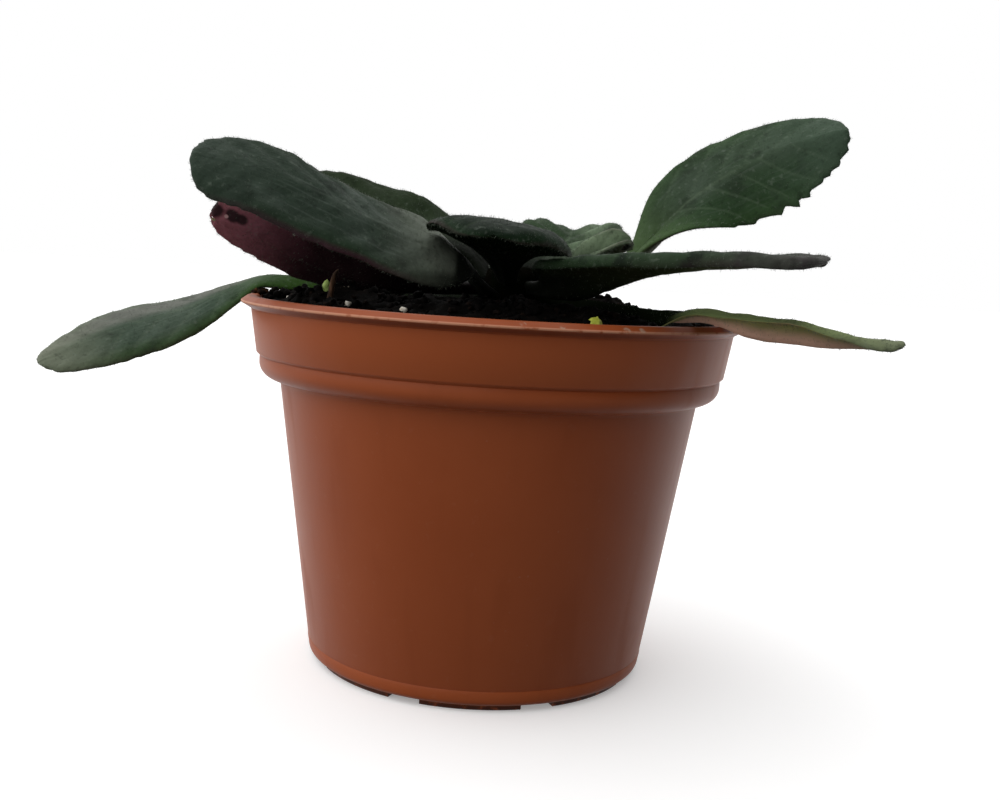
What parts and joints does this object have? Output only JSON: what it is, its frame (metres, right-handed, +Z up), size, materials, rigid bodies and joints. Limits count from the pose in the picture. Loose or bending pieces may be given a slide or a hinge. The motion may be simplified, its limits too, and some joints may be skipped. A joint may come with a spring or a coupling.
{
  "type": "potted primulina",
  "caption": "Low rosette of thick, toothed, hairy leaves on a short crown, standing in dark soil in a round tapered nursery pot with a wide collar.",
  "frame": {"origin": "middle of the pot's flat bottom, on the pot's axis", "axes": "+Z up along the pot's axis; -Y towards the side seen first; +X to that view's right, along the plant's longest spread"},
  "size_m": [0.1458, 0.1074, 0.1065],
  "materials": {
    "pot": "satin moulded plastic, terracotta brown",
    "soil": "moist, crumbly dark potting mix",
    "crown": "hairy olive green stem",
    "leaf": "hairy dark grey-green blade, paler or purple below",
    "dead_stalk": "dry brown",
    "bud": "smooth light green",
    "shoot": "smooth yellow green"
  },
  "bodies": {
    "root": {"pot": "pot", "soil": "soil", "crown": "crown", "leaf_right_upper": "leaf", "leaf_right_lower": "leaf", "leaf_front_right": "leaf", "leaf_front": "leaf", "leaf_left_upper": "leaf", "leaf_left_middle": "leaf", "leaf_left_lower": "leaf", "leaf_left_back": "leaf", "leaf_back_right": "leaf", "leaf_back": "leaf", "leaf_back_left": "leaf", "leaf_young": "leaf", "dead_stalk": "dead_stalk", "bud": "bud", "shoot": "shoot"}
  },
  "joints": []
}
